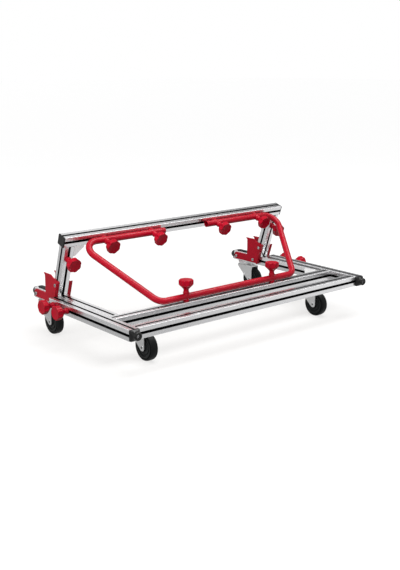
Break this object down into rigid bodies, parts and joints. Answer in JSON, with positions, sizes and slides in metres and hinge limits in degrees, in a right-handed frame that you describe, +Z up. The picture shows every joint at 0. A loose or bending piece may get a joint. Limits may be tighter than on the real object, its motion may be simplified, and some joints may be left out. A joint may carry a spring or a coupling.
{
  "type": "slab transport cart",
  "caption": "Low wheeled cart that carries a large slab on edge: slotted aluminium frame that slides out to lengthen, leaning back rail with a tube brace, clamp knobs and swivel casters.",
  "frame": {"origin": "on the floor under the middle of the cart at rest", "axes": "+X to the right along the rails, +Y to the rear where the slab stands, +Z up"},
  "size_m": [1.2632, 0.744, 0.4098],
  "materials": {
    "polished_aluminium": "polished",
    "cast_aluminium": "die cast",
    "red_paint": "gloss",
    "red_plastic": "satin",
    "black_plastic": "satin",
    "black_rubber": "matt",
    "hub_plastic": "satin",
    "tyre": "matt",
    "zinc_steel": "zinc plated",
    "bright_steel": "zinc plated"
  },
  "bodies": {
    "base_frame": {"middle_rail": "polished_aluminium", "inner_rail_left": "polished_aluminium", "inner_rail_right": "polished_aluminium", "post_left": "polished_aluminium", "post_right": "polished_aluminium", "top_rail": "polished_aluminium", "top_rail_caps": "black_plastic", "base_gussets": "cast_aluminium", "head_gussets": "cast_aluminium", "gusset_screws": "bright_steel", "bracket_left_outer": "red_paint", "bracket_left_inner": "red_paint", "bracket_right_inner": "red_paint", "bracket_right_outer": "red_paint", "bracket_bolts": "bright_steel", "rear_bumpers": "black_plastic", "rear_bumper_screws": "bright_steel", "seat_pads": "black_rubber", "caster_heads": "zinc_steel", "slot_nuts": "bright_steel", "base_end_screws": "bright_steel"},
    "front_frame": {"outer_rail_left": "polished_aluminium", "outer_rail_right": "polished_aluminium", "front_rail": "polished_aluminium", "front_bumpers": "black_plastic", "front_bumper_screws": "bright_steel", "outer_rail_caps": "black_plastic", "front_end_screws": "bright_steel", "side_clamp_nuts": "bright_steel"},
    "brace": {"brace_tube": "red_paint", "brace_nuts": "bright_steel"},
    "knob_low_left": {"knob_low_left": "red_plastic"},
    "knob_low_right": {"knob_low_right": "red_plastic"},
    "knob_top_left_outer": {"knob_top_left_outer": "red_plastic"},
    "knob_top_left_inner": {"knob_top_left_inner": "red_plastic"},
    "knob_top_right_inner": {"knob_top_right_inner": "red_plastic"},
    "knob_top_right_outer": {"knob_top_right_outer": "red_plastic"},
    "knob_post_left": {"knob_post_left": "red_plastic"},
    "knob_side_left_front": {"knob_side_left_front": "red_plastic"},
    "knob_side_left_rear": {"knob_side_left_rear": "red_plastic"},
    "knob_post_right": {"knob_post_right": "red_plastic"},
    "knob_side_right_front": {"knob_side_right_front": "red_plastic"},
    "knob_side_right_rear": {"knob_side_right_rear": "red_plastic"},
    "caster_front_left": {"fork_front_left": "zinc_steel", "axle_front_left": "bright_steel"},
    "wheel_front_left": {"hub_front_left": "hub_plastic", "tyre_front_left": "tyre"},
    "caster_rear_left": {"fork_rear_left": "zinc_steel", "axle_rear_left": "bright_steel"},
    "wheel_rear_left": {"hub_rear_left": "hub_plastic", "tyre_rear_left": "tyre"},
    "caster_front_right": {"fork_front_right": "zinc_steel", "axle_front_right": "bright_steel"},
    "wheel_front_right": {"hub_front_right": "hub_plastic", "tyre_front_right": "tyre"},
    "caster_rear_right": {"fork_rear_right": "zinc_steel", "axle_rear_right": "bright_steel"},
    "wheel_rear_right": {"hub_rear_right": "hub_plastic", "tyre_rear_right": "tyre"}
  },
  "joints": [
    {"name": "base_extension", "type": "slide", "parent": "base_frame", "child": "front_frame", "axis": [0, -1, 0], "range_m": [0, 0.18]},
    {"name": "brace_shift", "type": "slide", "parent": "base_frame", "child": "brace", "axis": [1, 0, 0], "range_m": [-0.04, 0.04]},
    {"name": "knob_low_left_turn", "type": "hinge", "parent": "brace", "child": "knob_low_left", "pos_m": [-0.217, -0.18998, 0.166], "axis": [0, 0, 1], "continuous": true},
    {"name": "knob_low_right_turn", "type": "hinge", "parent": "brace", "child": "knob_low_right", "pos_m": [0.217, -0.18998, 0.166], "axis": [0, 0, 1], "continuous": true},
    {"name": "knob_top_left_outer_turn", "type": "hinge", "parent": "brace", "child": "knob_top_left_outer", "pos_m": [-0.382, 0.09685, 0.37855], "axis": [0, -0.9478, -0.319], "continuous": true},
    {"name": "knob_top_left_inner_turn", "type": "hinge", "parent": "brace", "child": "knob_top_left_inner", "pos_m": [-0.163, 0.09685, 0.37855], "axis": [0, -0.9478, -0.319], "continuous": true},
    {"name": "knob_top_right_inner_turn", "type": "hinge", "parent": "brace", "child": "knob_top_right_inner", "pos_m": [0.163, 0.09685, 0.37855], "axis": [0, -0.9478, -0.319], "continuous": true},
    {"name": "knob_top_right_outer_turn", "type": "hinge", "parent": "brace", "child": "knob_top_right_outer", "pos_m": [0.382, 0.09685, 0.37855], "axis": [0, -0.9478, -0.319], "continuous": true},
    {"name": "knob_post_left_turn", "type": "hinge", "parent": "base_frame", "child": "knob_post_left", "pos_m": [-0.52, 0.11981, 0.31032], "axis": [0, -0.9478, -0.319], "continuous": true},
    {"name": "knob_side_left_front_turn", "type": "hinge", "parent": "front_frame", "child": "knob_side_left_front", "pos_m": [-0.5804, 0.03802, 0.146], "axis": [-1, 0, 0], "continuous": true},
    {"name": "knob_side_left_rear_turn", "type": "hinge", "parent": "front_frame", "child": "knob_side_left_rear", "pos_m": [-0.5804, 0.13502, 0.146], "axis": [-1, 0, 0], "continuous": true},
    {"name": "knob_post_right_turn", "type": "hinge", "parent": "base_frame", "child": "knob_post_right", "pos_m": [0.52, 0.11981, 0.31032], "axis": [0, -0.9478, -0.319], "continuous": true},
    {"name": "knob_side_right_front_turn", "type": "hinge", "parent": "front_frame", "child": "knob_side_right_front", "pos_m": [0.5804, 0.03802, 0.146], "axis": [1, 0, 0], "continuous": true},
    {"name": "knob_side_right_rear_turn", "type": "hinge", "parent": "front_frame", "child": "knob_side_right_rear", "pos_m": [0.5804, 0.13502, 0.146], "axis": [1, 0, 0], "continuous": true},
    {"name": "swivel_front_left", "type": "hinge", "parent": "base_frame", "child": "caster_front_left", "pos_m": [-0.431, -0.18998, 0.112], "axis": [0, 0, 1], "continuous": true},
    {"name": "roll_front_left", "type": "hinge", "parent": "caster_front_left", "child": "wheel_front_left", "pos_m": [-0.431, -0.23498, 0.05], "axis": [1, 0, 0], "continuous": true},
    {"name": "swivel_rear_left", "type": "hinge", "parent": "base_frame", "child": "caster_rear_left", "pos_m": [-0.52, 0.28398, 0.112], "axis": [0, 0, 1], "continuous": true},
    {"name": "roll_rear_left", "type": "hinge", "parent": "caster_rear_left", "child": "wheel_rear_left", "pos_m": [-0.52, 0.23898, 0.05], "axis": [1, 0, 0], "continuous": true},
    {"name": "swivel_front_right", "type": "hinge", "parent": "base_frame", "child": "caster_front_right", "pos_m": [0.431, -0.18998, 0.112], "axis": [0, 0, 1], "continuous": true},
    {"name": "roll_front_right", "type": "hinge", "parent": "caster_front_right", "child": "wheel_front_right", "pos_m": [0.431, -0.23498, 0.05], "axis": [1, 0, 0], "continuous": true},
    {"name": "swivel_rear_right", "type": "hinge", "parent": "base_frame", "child": "caster_rear_right", "pos_m": [0.52, 0.28398, 0.112], "axis": [0, 0, 1], "continuous": true},
    {"name": "roll_rear_right", "type": "hinge", "parent": "caster_rear_right", "child": "wheel_rear_right", "pos_m": [0.52, 0.23898, 0.05], "axis": [1, 0, 0], "continuous": true}
  ]
}
